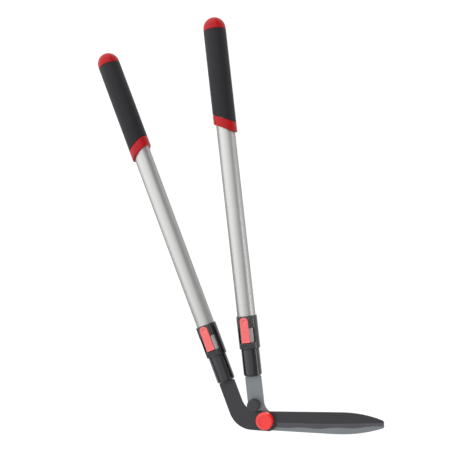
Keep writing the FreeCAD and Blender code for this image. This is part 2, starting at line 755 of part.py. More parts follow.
def collar_screw(handle):
    head = screw_cylinder(SCREW_HEAD_DIAMETER / 2, -COLLAR_R, screw_head_z())
    shank = screw_cylinder(SCREW_DIAMETER / 2, screw_head_z(), -TUBE_BORE_R - PUSH_FIT)
    half = SCREW_SLOT_WIDTH / 2
    y = COLLAR_TOP - SCREW_FROM_TOP
    reach = SCREW_HEAD_DIAMETER
    slot = block(-reach, reach, y - half, y + half, -BIG, -COLLAR_R + SCREW_HEAD_HEIGHT / 2)
    return head.fuse(shank).cut(slot)


def axle_cylinder(radius, x0, x1):
    """A cylinder on the lever's axle line."""
    return Part.makeCylinder(radius, x1 - x0, Vector(x0, AXLE_Y, AXLE_Z), Vector(1, 0, 0))


def lever_axle(handle):
    return axle_cylinder(AXLE_DIAMETER / 2, -AXLE_LENGTH / 2, AXLE_LENGTH / 2)


def lock_lever(handle):
    """The rocking lever: its thumb end is nearer the grip, its pin end is nearer the blades."""
    lip = LEVER_BOTTOM + LEVER_LIP_LENGTH
    profile = [
        Vector(0, LEVER_BOTTOM, LEVER_Z),
        Vector(0, AXLE_Y, LEVER_Z),
        Vector(0, LEVER_TOP, THUMB_Z),
        Vector(0, LEVER_TOP, LEVER_TOP_Z),
        Vector(0, lip, LEVER_TOP_Z),
        Vector(0, lip, LEVER_TOP_Z + LEVER_LIP_HEIGHT),
        Vector(0, LEVER_BOTTOM, LEVER_TOP_Z + LEVER_LIP_HEIGHT),
    ]
    half = LEVER_WIDTH / 2
    side = Part.Face(Part.makePolygon(profile + profile[:1]))
    side.translate(Vector(-half, 0, 0))
    body = side.extrude(Vector(LEVER_WIDTH, 0, 0))
    body = round_edges(body, LEVER_END_RADIUS, lambda edge: upright_at(edge, LEVER_TOP))
    dimple = Part.makeSphere(
        DIMPLE_RADIUS, Vector(0, DIMPLE_Y, LEVER_TOP_Z + DIMPLE_RADIUS - DIMPLE_DEPTH)
    )
    cuts = [
        dimple,
        axle_cylinder(AXLE_DIAMETER / 2 + RUNNING_FIT, -LEVER_WIDTH, LEVER_WIDTH),
        post(SPRING_DIAMETER / 2 + PIN_CLEARANCE, 0, SPRING_Y, 0, FLOOR_Z + SPRING_HEIGHT),
        post(LOCK_PIN_DIAMETER / 2, 0, PIN_Y, 0, LEVER_TOP_Z - LEVER_SKIN),
    ]
    return body.cut(cuts)


def lock_pin(handle):
    """The steel pin that drops through both tubes."""
    foot = INNER_BORE_R + PUSH_FIT
    radius = LOCK_PIN_DIAMETER / 2
    pin = post(radius, 0, PIN_Y, foot, LEVER_TOP_Z - LEVER_SKIN)
    return pin.makeChamfer(
        PIN_CLEARANCE,
        [edge for edge in pin.Edges if circle_at(edge, radius, foot, Vector(0, 0, 1))],
    )


def lever_spring(handle):
    """The coil spring under the thumb end."""
    height = SPRING_HEIGHT - SPRING_WIRE
    radius = (SPRING_DIAMETER - SPRING_WIRE) / 2
    steps = SPRING_TURNS * SPRING_POINTS_PER_TURN
    points = []
    for step in range(steps + 1):
        angle = 2 * math.pi * step / SPRING_POINTS_PER_TURN
        rise = height * step / steps
        points.append(Vector(radius * math.cos(angle), radius * math.sin(angle), rise))
    path = Part.BSplineCurve()
    path.interpolate(points)
    section = Part.Wire(Part.makeCircle(SPRING_WIRE / 2, points[0], Vector(0, 1, 0)))
    coil = Part.Wire(path.toShape()).makePipeShell([section], True, False)
    coil.translate(Vector(0, SPRING_Y, FLOOR_Z + SPRING_WIRE / 2))
    return coil


# ---------------------------------------------------------------- hand end of a handle

def slanted_slab(handle, y0, y1):
    """A wide slab across the handle, slanted so that it is lower on the handle's outer side."""
    slant = math.radians(FERRULE_SLANT)
    thickness = (y1 - y0) * math.cos(slant)
    slab = block(-BIG / 2, BIG / 2, 0, thickness, -BIG / 2, BIG / 2)
    slab.rotate(Vector(0, 0, 0), Vector(0, 0, 1), -handle.outer_side * FERRULE_SLANT)
    slab.translate(Vector(0, y0, 0))
    return slab


def sleeve(radius, y0, y1):
    """A sleeve pushed onto the outer tube."""
    return rod(radius, y0, y1).cut(rod(TUBE_R + PUSH_FIT, 0, BIG))


def grip_ferrule(handle):
    radius = GRIP_R + FERRULE_PROUD
    spread = radius * math.tan(math.radians(FERRULE_SLANT)) + CUT_OVERRUN
    ring = rod(radius, FERRULE_Y - spread, GRIP_Y + spread)
    ring = ring.common(slanted_slab(handle, FERRULE_Y, GRIP_Y))
    ring = ring.makeFillet(FERRULE_EDGE_RADIUS, slanted_rims(ring))
    return ring.cut(rod(TUBE_R + PUSH_FIT, 0, BIG))


def slanted_rims(ring):
    """The two slanted rims of the ferrule's blank."""
    return [edge for edge in ring.Edges if isinstance(edge.Curve, Part.Ellipse)]


def grip(handle):
    """The soft sleeve, cut on the ferrule's slant at its lower end."""
    spread = GRIP_R * math.tan(math.radians(FERRULE_SLANT)) + CUT_OVERRUN
    body = sleeve(GRIP_R, GRIP_Y - spread, CAP_Y - SEAM_GAP)
    return body.common(slanted_slab(handle, GRIP_Y + SEAM_GAP, GRIP_Y + BIG))


def grip_end_cap(handle):
    """A domed cap with a plug that fills the end of the outer tube."""
    shoulder = CAP_Y + END_CAP_HEIGHT - GRIP_R
    dome = rod(GRIP_R, CAP_Y, shoulder).fuse(Part.makeSphere(GRIP_R, Vector(0, shoulder, 0)))
    dome = dome.common(block(-BIG, BIG, CAP_Y, CAP_Y + BIG, -BIG, BIG)).removeSplitter()
    dome = round_edges(
        dome, END_CAP_EDGE_RADIUS, lambda edge: circle_at(edge, GRIP_R, CAP_Y, Vector(0, 1, 0))
    )
    plug = rod(TUBE_BORE_R - PUSH_FIT, CAP_Y - END_CAP_PLUG_LENGTH, CAP_Y)
    return dome.fuse(plug)


# ---------------------------------------------------------------- the whole tool

PIVOT_PIECES = {
    "upper_blade": upper_blade,
    "lower_blade": lower_blade,
    "pivot_bolt": pivot_bolt,
    "pivot_bush": pivot_bush,
    "pivot_washer": pivot_washer,
    "disc_spring": disc_spring,
    "pivot_nut": pivot_nut,
    "pivot_cap": pivot_cap,
    "bumper": bumper,
    "bumper_screw": bumper_screw,
}

HANDLE_PIECES = {
    "socket": socket,
    "inner_tube": inner_tube,
    "tang_insert": tang_insert,
    "tang_pins": tang_pins,
    "inner_tube_bush": inner_tube_bush,
    "outer_tube": outer_tube,
    "collar": collar,
    "collar_screw": collar_screw,
    "lever_axle": lever_axle,
    "lock_lever": lock_lever,
    "lock_pin": lock_pin,
    "lever_spring": lever_spring,
    "grip_ferrule": grip_ferrule,
    "grip": grip,
    "grip_end_cap": grip_end_cap,
}


def build():
    """Every piece by name, about the pivot."""
    pieces = {}
    for name, make in PIVOT_PIECES.items():
        pieces[name] = make()
    for handle in (LEFT, RIGHT):
        for name, make in HANDLE_PIECES.items():
            pieces[f"{handle.name}_{name}"] = handle.place(make(handle))
    return pieces


def bottom_centre(pieces):
    """The bottom centre of the box round every piece."""
    box = FreeCAD.BoundBox()
    for shape in pieces.values():
        box.add(shape.optimalBoundingBox(False, False))
    return Vector(box.Center.x, box.Center.y, box.ZMin)


PIECES = build()
ORIGIN = bottom_centre(PIECES)

os.makedirs("parts", exist_ok=True)
for piece_name, piece in PIECES.items():
    piece.translate(-ORIGIN)
    piece.exportStep(f"parts/{piece_name}.step")
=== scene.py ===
"""Long-handled lawn shears: finishes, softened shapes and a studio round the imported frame."""

import json
import logging
import math
from dataclasses import dataclass, field
from enum import Enum
from typing import Any, Union

import bmesh
import bpy
from mathutils import Matrix, Vector


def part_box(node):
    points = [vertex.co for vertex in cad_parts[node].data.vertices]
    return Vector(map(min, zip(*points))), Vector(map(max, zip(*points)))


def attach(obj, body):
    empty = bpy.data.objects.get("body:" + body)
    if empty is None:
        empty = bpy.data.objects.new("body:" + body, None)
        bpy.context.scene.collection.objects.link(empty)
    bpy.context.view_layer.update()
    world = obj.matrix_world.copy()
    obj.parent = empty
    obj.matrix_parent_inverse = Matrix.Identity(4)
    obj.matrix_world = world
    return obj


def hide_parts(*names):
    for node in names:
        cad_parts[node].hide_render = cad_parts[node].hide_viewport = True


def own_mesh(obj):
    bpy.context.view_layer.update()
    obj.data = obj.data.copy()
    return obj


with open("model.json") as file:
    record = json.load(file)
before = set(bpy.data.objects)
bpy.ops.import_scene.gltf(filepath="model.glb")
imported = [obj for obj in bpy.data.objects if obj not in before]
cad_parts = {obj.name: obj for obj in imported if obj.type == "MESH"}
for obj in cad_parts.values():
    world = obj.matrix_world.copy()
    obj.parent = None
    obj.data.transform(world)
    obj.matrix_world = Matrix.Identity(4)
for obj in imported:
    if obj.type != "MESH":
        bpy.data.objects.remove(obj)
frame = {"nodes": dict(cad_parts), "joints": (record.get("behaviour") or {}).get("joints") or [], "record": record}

LOG = logging.getLogger("lawn_shears")
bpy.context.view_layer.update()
MM = 0.001
CAD_MERGE = 0.000002
SEAM_MERGE = 0.000001
SMOOTH_SHARE = 0.5

Triple = tuple[float, float, float]
Colour = Triple


class Side(Enum):
    """The two handles, as seen from above with the blades nearest."""

    LEFT = "left"
    RIGHT = "right"


class Slot(Enum):
    """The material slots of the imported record."""

    COATED_STEEL = "coated_steel"
    SATIN_STEEL = "satin_steel"
    ZINC_STEEL = "zinc_steel"
    BRONZE = "bronze"
    SPRING_STEEL = "spring_steel"
    RED_PLASTIC = "red_plastic"
    LEVER_PLASTIC = "lever_plastic"
    BLACK_PLASTIC = "black_plastic"
    NYLON = "nylon"
    BUMPER_RUBBER = "bumper_rubber"
    GRIP_RUBBER = "grip_rubber"
    ANODISED = "anodised_aluminium"
    INNER_ALUMINIUM = "inner_aluminium"


# ------------------------------------------------------------------------------ shader maths

class Wire:
    """A shader output that can be used in Python sums."""

    def __init__(self, graph: "Graph", socket: bpy.types.NodeSocket) -> None:
        """Wraps one output socket of a graph."""
        self.graph = graph
        self.socket = socket

    def _maths(self, operation: str, left: Any, right: Any = 0.0) -> "Wire":
        """One Math node, for numbers or wires."""
        return self.graph.node("ShaderNodeMath", {"operation": operation}, {0: left, 1: right})

    def __add__(self, other: Any) -> "Wire":
        """self + other."""
        return self._maths("ADD", self, other)

    def __radd__(self, other: Any) -> "Wire":
        """other + self."""
        return self._maths("ADD", other, self)

    def __sub__(self, other: Any) -> "Wire":
        """self - other."""
        return self._maths("SUBTRACT", self, other)

    def __rsub__(self, other: Any) -> "Wire":
        """other - self."""
        return self._maths("SUBTRACT", other, self)

    def __mul__(self, other: Any) -> "Wire":
        """self * other."""
        return self._maths("MULTIPLY", self, other)

    def __rmul__(self, other: Any) -> "Wire":
        """other * self."""
        return self._maths("MULTIPLY", other, self)

    def __lt__(self, other: Any) -> "Wire":
        """1 where self is less than other, and 0 elsewhere."""
        return self._maths("LESS_THAN", self, other)

    def __gt__(self, other: Any) -> "Wire":
        """1 where self is greater than other, and 0 elsewhere."""
        return self._maths("GREATER_THAN", self, other)


class Graph:
    """The node tree of one material, filled from Python."""

    def __init__(self, tree: bpy.types.NodeTree) -> None:
        """Takes over an empty node tree."""
        self.tree = tree

    def node(self, kind: str, settings: dict, values: dict, output: Union[int, str] = 0) -> Wire:
        """Adds one node.

        Args:
            kind: Blender's name for the node type.
            settings: the node's own properties, set first.
            values: what each input gets, by name or index: a number, a colour or a Wire.
            output: the output that is handed back.

        Returns:
            The chosen output as a Wire.
        """
        made = self.tree.nodes.new(kind)
        for name, value in settings.items():
            setattr(made, name, value)
        for name, value in values.items():
            if isinstance(value, Wire):
                self.tree.links.new(value.socket, made.inputs[name])
            else:
                made.inputs[name].default_value = value
        return Wire(self, made.outputs[output])

    def place(self, turn: float = 0.0, stretch: Triple = (1.0, 1.0, 1.0)) -> Wire:
        """Object coordinates, turned about Z and then stretched.

        Args:
            turn: the turn in radians that brings a handle's axis back to Y.
            stretch: how many times finer the pattern is along each axis.

        Returns:
            The coordinates.
        """
        where = self.node("ShaderNodeTexCoord", {}, {}, "Object")
        turned = self.node(
            "ShaderNodeMapping", {}, {"Vector": where, "Rotation": (0.0, 0.0, turn)}
        )
        return self.node("ShaderNodeMapping", {}, {"Vector": turned, "Scale": stretch})

    def noise(self, where: Wire, scale: float, detail: float = 3.0) -> Wire:
        """Cloudy noise, as a number about one half."""
        return self.node(
            "ShaderNodeTexNoise", {}, {"Vector": where, "Scale": scale, "Detail": detail}
        )

    def cells(self, where: Wire, scale: float) -> Wire:
        """The distance to the nearest point of a pebbled pattern."""
        return self.node("ShaderNodeTexVoronoi", {}, {"Vector": where, "Scale": scale})

    def blend(self, share: Any, first: Any, second: Any) -> Wire:
        """Two colours mixed by a share."""
        return self.node(
            "ShaderNodeMix",
            {"data_type": "RGBA"},
            {0: share, 6: solid(first), 7: solid(second)},
            2,
        )

    def normal_part(self, axis: int) -> Wire:
        """One component of the surface's own normal, in the object's frame."""
        normal = self.node("ShaderNodeTexCoord", {}, {}, "Normal")
        return self.node("ShaderNodeSeparateXYZ", {}, {0: normal}, axis)

    def relief(self, height: Wire, strength: float, depth: float, edge: float = 0.0) -> Wire:
        """A bumped normal, with the piece's edges rounded off as it meets the light.

        Args:
            height: the relief's height, from 0 to 1.
            strength: how much of it shows.
            depth: how deep it is, in metres.
            edge: the radius that edges seem to have, in metres; 0 leaves them sharp.

        Returns:
            The normal.
        """
        values = {"Height": height, "Strength": strength, "Distance": depth}
        if edge > 0:
            values["Normal"] = self.node("ShaderNodeBevel", {"samples": 4}, {"Radius": edge})
        return self.node("ShaderNodeBump", {}, values, "Normal")

    def surface(self, values: dict) -> None:
        """Adds the Principled shader and the output."""
        shader = self.node("ShaderNodeBsdfPrincipled", {}, values)
        output = self.tree.nodes.new("ShaderNodeOutputMaterial")
        self.tree.links.new(shader.socket, output.inputs["Surface"])


def solid(colour: Any) -> Any:
    """A colour with its alpha, or a wire as it is."""
    return colour if isinstance(colour, Wire) else (*colour, 1.0)


def darker(colour: Colour, share: float) -> Colour:
    """A colour with each channel scaled down."""
    return tuple(share * channel for channel in colour)


def new_material(name: str) -> tuple[bpy.types.Material, Graph]:
    """An empty node material and its graph."""
    material = bpy.data.materials.new(name)
    material.use_nodes = True
    material.node_tree.nodes.clear()
    return material, Graph(material.node_tree)


# ------------------------------------------------------------------------------ finishes

@dataclass(frozen=True)
class DrawnAluminium:
    """Satin anodised tube, with the faint lines of the drawing die along it."""

    name: str
    colour: Colour = (0.405, 0.405, 0.397)
    roughness: float = 0.41
    lines: float = 0.05
    rim_tint: Colour = (0.40, 0.40, 0.41)
    line_scale: float = 2600.0
    line_stretch: Triple = (1.0, 0.012, 1.0)
    cloud_scale: float = 90.0
    cloud_stretch: Triple = (1.0, 0.05, 1.0)
    depth: float = 0.00005
    edge: float = 0.0003

    def make(self, turn: float) -> bpy.types.Material:
        """Builds the material.

        Args:
            turn: the handle's lean, so that the lines follow its axis.

        Returns:
            The material.
        """
        material, graph = new_material(self.name)
        fine = graph.noise(graph.place(turn, self.line_stretch), self.line_scale, 2.0)
        broad = graph.noise(graph.place(turn, self.cloud_stretch), self.cloud_scale, 2.0)
        graph.surface(
            {
                "Base Color": graph.blend(broad * 0.35, self.colour, darker(self.colour, 0.9)),
                "Metallic": 1.0,
                "Specular Tint": solid(self.rim_tint),
                "Roughness": self.roughness + (fine - 0.5) * 0.10 + (broad - 0.5) * 0.05,
                "Normal": graph.relief(fine, self.lines, self.depth, self.edge),
            }
        )
        return material


@dataclass(frozen=True)
class BladeSteel:
    """Blade steel: flat faces with their own skin, and a bevel ground through it."""

    name: str
    flat: Colour
    ground: Colour
    metal: float
    roughness: float
    peel: float
    flat_above: float = 0.995
    wall_below: float = 0.6
    line_scale: float = 3200.0
    line_stretch: Triple = (1.0, 0.03, 0.03)
    skin_scale: float = 1500.0
    cloud_scale: float = 26.0
    strength: float = 0.22
    depth: float = 0.00006
    edge: float = 0.0003

    def make(self) -> bpy.types.Material:
        """Builds the material; the grinding lines run across the cutting edge."""
        material, graph = new_material(self.name)
        upright = graph.normal_part(2)
        size = graph.node("ShaderNodeMath", {"operation": "ABSOLUTE"}, {0: upright})
        bevel = (size < self.flat_above) * (size > self.wall_below)
        lines = graph.noise(graph.place(0.0, self.line_stretch), self.line_scale, 2.0)
        skin = graph.noise(graph.place(), self.skin_scale, 2.0)
        cloud = graph.noise(graph.place(), self.cloud_scale, 3.0)
        flat = graph.blend(cloud * 0.5, self.flat, darker(self.flat, 0.80))
        ground = graph.blend(lines, self.ground, darker(self.ground, 0.72))
        relief = bevel * lines + (1 - bevel) * skin * self.peel
        graph.surface(
            {
                "Base Color": graph.blend(bevel, flat, ground),
                "Metallic": self.metal + bevel * 0.35,
                "Roughness": self.roughness - bevel * 0.10 + (cloud - 0.5) * 0.12,
                "Specular IOR Level": 0.45,
                "Normal": graph.relief(relief, self.strength, self.depth, self.edge),
            }
        )
        return material


@dataclass(frozen=True)
class MouldedPlastic:
    """Injection-moulded plastic, smooth but never quite even."""

    name: str
    colour: Colour
    roughness: float
    grain: float = 0.05
    coat: float = 0.0
    specular: float = 0.5
    edge: float = 0.0004
    fine_scale: float = 2400.0
    cloud_scale: float = 34.0
    depth: float = 0.00008

    def make(self) -> bpy.types.Material:
        """Builds the material."""
        material, graph = new_material(self.name)
        fine = graph.noise(graph.place(), self.fine_scale, 2.0)
        cloud = graph.noise(graph.place(), self.cloud_scale, 3.0)
        graph.surface(
            {
                "Base Color": graph.blend(cloud * 0.5, self.colour, darker(self.colour, 0.82)),
                "Roughness": self.roughness + (cloud - 0.5) * 0.10 + (fine - 0.5) * 0.04,
                "Specular IOR Level": self.specular,
                "Coat Weight": self.coat,
                "Coat Roughness": 0.08,
                "Normal": graph.relief(fine, self.grain, self.depth, self.edge),
            }
        )
        return material


@dataclass(frozen=True)
class SoftRubber:
    """Matt rubber with the fine pebble of an eroded mould."""

    name: str
    colour: Colour
    roughness: float
    pebble: float = 0.35
    scale: float = 1100.0
    specular: float = 0.35
    cloud_scale: float = 18.0
    depth: float = 0.00012
    edge: float = 0.0005

    def make(self) -> bpy.types.Material:
        """Builds the material."""
        material, graph = new_material(self.name)
        pebbles = graph.cells(graph.place(), self.scale)
        cloud = graph.noise(graph.place(), self.cloud_scale, 4.0)
        graph.surface(
            {
                "Base Color": graph.blend(cloud, self.colour, darker(self.colour, 0.70)),
                "Roughness": self.roughness + (cloud - 0.5) * 0.12,
                "Specular IOR Level": self.specular,
                "Sheen Weight": 0.02,
                "Normal": graph.relief(pebbles, self.pebble, self.depth, self.edge),
            }
        )
        return material


@dataclass(frozen=True)
class PlainMetal:
    """Small turned, plated or sintered metal parts."""

    name: str
    colour: Colour
    roughness: float
    speckle: float = 0.08
    cloud_scale: float = 220.0
    fine_scale: float = 4200.0
    depth: float = 0.00005
    edge: float = 0.0002

    def make(self) -> bpy.types.Material:
        """Builds the material."""
        material, graph = new_material(self.name)
        cloud = graph.noise(graph.place(), self.cloud_scale, 3.0)
        fine = graph.noise(graph.place(), self.fine_scale, 2.0)
        graph.surface(
            {
                "Base Color": graph.blend(cloud, self.colour, darker(self.colour, 0.74)),
                "Metallic": 1.0,
                "Roughness": self.roughness + (cloud - 0.5) * 0.18,
                "Normal": graph.relief(fine, self.speckle, self.depth, self.edge),
            }
        )
        return material


@dataclass(frozen=True)
class StudioFloor:
    """The pale ground, lit a little from below as a light table is."""

    name: str = "studio_floor"
    shade: float = 0.12
    glow: float = 0.98

    def make(self) -> bpy.types.Material:
        """Builds the material."""
        material, graph = new_material(self.name)
        graph.surface(
            {
                "Base Color": (self.shade, self.shade, self.shade, 1.0),
                "Roughness": 0.9,
                "Specular IOR Level": 0.1,
                "Emission Color": (1.0, 1.0, 1.0, 1.0),
                "Emission Strength": self.glow,
            }
        )
        return material


class Finishes:
    """Every finish, made once, by the record's slot."""

    def __init__(self) -> None:
        """Makes the finishes that don't depend on a handle."""
        plain = {
            Slot.COATED_STEEL: BladeSteel(
                "charcoal_coating",
                flat=(0.0135, 0.0128, 0.0175),
                ground=(0.086, 0.083, 0.095),
                metal=0.0,
                roughness=0.52,
                peel=1.0,
            ),
            Slot.SATIN_STEEL: BladeSteel(
                "satin_blade_steel",
                flat=(0.172, 0.188, 0.198),
                ground=(0.42, 0.45, 0.47),
                metal=0.55,
                roughness=0.46,
                peel=0.4,
            ),
            Slot.ZINC_STEEL: PlainMetal("zinc_plate", (0.60, 0.61, 0.63), 0.34),
            Slot.BRONZE: PlainMetal("sintered_bronze", (0.50, 0.34, 0.18), 0.50, speckle=0.25),
            Slot.SPRING_STEEL: PlainMetal("spring_wire", (0.42, 0.42, 0.43), 0.26),
            Slot.RED_PLASTIC: MouldedPlastic(
                "red_moulding", (0.34, 0.005, 0.007), 0.22, specular=0.16
            ),
            Slot.LEVER_PLASTIC: MouldedPlastic(
                "lever_moulding", (0.67, 0.092, 0.092), 0.22, coat=0.2, edge=0.0
            ),
            Slot.BLACK_PLASTIC: MouldedPlastic(
                "black_moulding", (0.008, 0.008, 0.0110), 0.17, grain=0.02, edge=0.0006
            ),
            Slot.NYLON: MouldedPlastic("grey_nylon", (0.10, 0.10, 0.105), 0.50, grain=0.12),
            Slot.BUMPER_RUBBER: SoftRubber(
                "bumper_rubber", (0.032, 0.034, 0.035), 0.62, pebble=0.45
            ),
            Slot.GRIP_RUBBER: SoftRubber(
                "grip_rubber", (0.0140, 0.0143, 0.0172), 0.52, specular=0.16
            ),
        }
        self.by_slot = {slot: finish.make() for slot, finish in plain.items()}
        self.cap = MouldedPlastic("cap_moulding", (0.72, 0.014, 0.010), 0.20, coat=0.2).make()

    def of(self, slot: Slot) -> bpy.types.Material:
        """The material of a slot."""
        return self.by_slot[slot]


# ------------------------------------------------------------------------------ mesh helpers

def dress(node: str, material: bpy.types.Material) -> None:
    """Gives a CAD node its finish and reports it."""
    shape = frame["nodes"][node]
    for slot in shape.material_slots:
        slot.material = material
    LOG.info("%s wears %s", node, material.name)


def settle(piece: bpy.types.Object, body: str, node: str) -> None:
    """Rides a finished piece on its body, in place of a CAD node.

    Args:
        piece: the piece, at the origin with its place in its mesh.
        body: the CAD body that it moves with.
        node: the CAD node that it stands for.
    """
    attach(piece, body)
    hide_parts(node)
    LOG.info("%s stands for %s on %s", piece.name, node, body)


def new_object(name: str, mesh: bpy.types.Mesh) -> bpy.types.Object:
    """A mesh put into the scene."""
    shape = bpy.data.objects.new(name, mesh)
    bpy.context.scene.collection.objects.link(shape)
    return shape


def frozen(shape: bpy.types.Object, material: bpy.types.Material) -> bpy.types.Object:
    """Turns an object's modifiers into plain mesh.

    Args:
        shape: the object, whose modifiers are removed.
        material: the finish of the result.

    Returns:
        The same object, with the evaluated mesh.
    """
    graph = bpy.context.evaluated_depsgraph_get()
    mesh = bpy.data.meshes.new_from_object(shape.evaluated_get(graph))
    shape.modifiers.clear()
    shape.data = mesh
    mesh.materials.clear()
    mesh.materials.append(material)
    return shape


def merged_copy(node: str, name: str) -> bpy.types.Object:
    """A copy of a CAD node whose loose triangles are joined up."""
    mesh = bpy.data.meshes.new(name)
    joined = bmesh.new()
    joined.from_mesh(frame["nodes"][node].data)
    bmesh.ops.remove_doubles(joined, verts=joined.verts, dist=CAD_MERGE)
    joined.to_mesh(mesh)
    joined.free()
    return new_object(name, mesh)


def softened(
    node: str, name: str, voxel: float, passes: int, material: bpy.types.Material
) -> bpy.types.Object:
    """A copy of a moulded CAD node with its edges worn round, as a mould leaves them.

    Args:
        node: the CAD node.
        name: the new piece's name.
        voxel: the size of the remeshed faces, in metres.
        passes: how many times the surface is smoothed.
        material: the finish.

    Returns:
        The piece, at the origin.
    """
    shape = merged_copy(node, name)
    remesh = shape.modifiers.new("even_faces", "REMESH")
    remesh.mode = "VOXEL"
    remesh.voxel_size = voxel
    remesh.use_smooth_shade = True
    smooth = shape.modifiers.new("round_edges", "SMOOTH")
    smooth.factor = SMOOTH_SHARE
    smooth.iterations = passes
    return frozen(shape, material)


def node_span(node: str, origin: Vector, axis: Vector) -> tuple[float, float]:
    """How far a CAD node reaches along an axis, from an origin on it."""
    reach = [(vertex.co - origin).dot(axis) for vertex in frame["nodes"][node].data.vertices]
    return min(reach), max(reach)


class GeometryTree:
    """A Geometry Nodes tree with named inputs, built node by node."""

    def __init__(self, name: str, inputs: dict[str, float]) -> None:
        """Makes the tree.

        Args:
            name: the tree's name.
            inputs: its sizes by name, with the value that each starts at.
        """
        self.tree = bpy.data.node_groups.new(name, "GeometryNodeTree")
        face = self.tree.interface
        face.new_socket("Geometry", in_out="OUTPUT", socket_type="NodeSocketGeometry")
        for label, value in inputs.items():
            socket = face.new_socket(label, in_out="INPUT", socket_type="NodeSocketFloat")
            socket.default_value = value
        self.source = self.tree.nodes.new("NodeGroupInput")

    def size(self, label: str) -> bpy.types.NodeSocket:
        """One of the named inputs."""
        return self.source.outputs[label]

    def node(self, kind: str, settings: dict, values: dict) -> bpy.types.Node:
        """Adds one node with its settings, then its values or links."""
        made = self.tree.nodes.new(kind)
        for name, value in settings.items():
            setattr(made, name, value)
        for name, value in values.items():
            if isinstance(value, bpy.types.NodeSocket):
                self.tree.links.new(value, made.inputs[name])
            else:
                made.inputs[name].default_value = value
        return made

    def maths(self, operation: str, first: Any, second: Any = 0.0) -> bpy.types.NodeSocket:
        """One Math node."""
        made = self.node("ShaderNodeMath", {"operation": operation}, {0: first, 1: second})
        return made.outputs[0]

    def finish(self, geometry: bpy.types.NodeSocket, material: bpy.types.Material) -> None:
        """Ends the tree in Realize Instances and Set Material."""
        real = self.node("GeometryNodeRealizeInstances", {}, {"Geometry": geometry})
        dressed = self.node(
            "GeometryNodeSetMaterial", {}, {"Geometry": real.outputs[0], "Material": material}
        )
        output = self.tree.nodes.new("NodeGroupOutput")
        self.tree.links.new(dressed.outputs[0], output.inputs[0])

    def mesh_object(
        self, name: str, sizes: dict[str, float], material: bpy.types.Material
    ) -> bpy.types.Object:
        """Runs the tree once and keeps the result as a plain mesh.

        Args:
            name: the new object's name.
            sizes: the named inputs that differ from where they start.
            material: the finish.

        Returns:
            The object, with no modifier left.
        """
        shape = new_object(name, bpy.data.meshes.new(name))
        modifier = shape.modifiers.new(self.tree.name, "NODES")
        modifier.node_group = self.tree
        for item in self.tree.interface.items_tree:
            if item.in_out == "INPUT" and item.name in sizes:
                modifier[item.identifier] = float(sizes[item.name])
        return frozen(shape, material)


def put(shape: bpy.types.Object, matrix: Matrix) -> None:
    """Writes a place into a mesh, so that the object stays at the origin."""
    shape.data.transform(matrix)
    shape.data.update()


def point_outwards(shape: bpy.types.Object) -> None:
    """Joins a mesh's doubles and turns its faces outwards."""
    joined = bmesh.new()
    joined.from_mesh(shape.data)
    bmesh.ops.remove_doubles(joined, verts=joined.verts, dist=SEAM_MERGE)
    bmesh.ops.recalc_face_normals(joined, faces=joined.faces)
    joined.to_mesh(shape.data)
    joined.free()
    for face in shape.data.polygons:
        face.use_smooth = True


# ------------------------------------------------------------------------------ the pieces

@dataclass
class BladePair:
    """The coated upper blade and the bright lower one."""

    finishes: Finishes

    def build(self) -> None:
        """Dresses both blades."""
        dress("upper_blade", self.finishes.of(Slot.COATED_STEEL))
        dress("lower_blade", self.finishes.of(Slot.SATIN_STEEL))


@dataclass
class PivotStack:
    """The bolt through both blades, its nut and washers, and the cap over them."""

    finishes: Finishes

    def build(self) -> None:
        """Dresses the stack and its cap."""
        for node in ("pivot_bolt", "pivot_washer", "pivot_nut"):
            dress(node, self.finishes.of(Slot.ZINC_STEEL))
        dress("pivot_bush", self.finishes.of(Slot.BRONZE))
        dress("disc_spring", self.finishes.of(Slot.SPRING_STEEL))
        dress("pivot_cap", self.finishes.cap)


@dataclass
class BumperStop:
    """The rubber buffer inside the crook, and the screw that holds it."""

    finishes: Finishes

    def build(self) -> None:
        """Dresses both."""
        dress("bumper", self.finishes.of(Slot.BUMPER_RUBBER))
        dress("bumper_screw", self.finishes.of(Slot.ZINC_STEEL))


